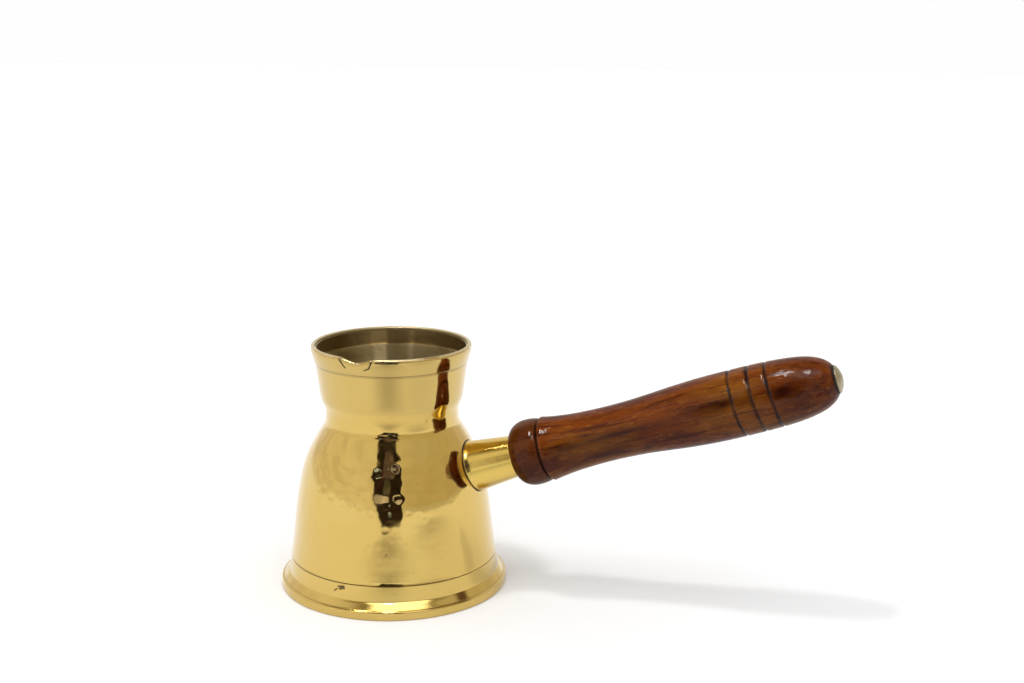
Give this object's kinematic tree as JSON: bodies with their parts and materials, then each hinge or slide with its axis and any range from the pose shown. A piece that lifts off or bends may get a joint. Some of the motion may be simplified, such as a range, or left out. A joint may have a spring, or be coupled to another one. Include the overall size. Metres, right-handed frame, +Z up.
{
  "type": "coffee pot",
  "caption": "Long-handled metal coffee pot: hammered bell body on a flanged foot, flared neck with a pouring lip, and a turned wooden handle in a metal socket.",
  "frame": {"origin": "centre of the foot's resting face, on the pot's axis", "axes": "+Z up along the pot's axis, +X towards the handle, which leans up out of the XY plane; -Y is roughly the side with the pouring lip"},
  "size_m": [0.1883, 0.078, 0.0877],
  "materials": {
    "hammered_brass": "polished, hammered",
    "turned_brass": "polished, turned",
    "polished_brass": "bright polished",
    "dull_brass": "dull, unpolished",
    "tin": "wiped tin, stained",
    "steel": "plain steel rod",
    "varnished_wood": "red-brown, varnished",
    "dark_washer": "dark fibre"
  },
  "bodies": {
    "root": {"pot_body": "hammered_brass", "foot_base": "turned_brass", "tin_lining": "tin", "handle_socket": "polished_brass", "rod_boss": "turned_brass", "tie_rod": "steel", "handle_grip": "varnished_wood", "end_washer": "dark_washer", "cap_nut": "dull_brass"}
  },
  "joints": []
}
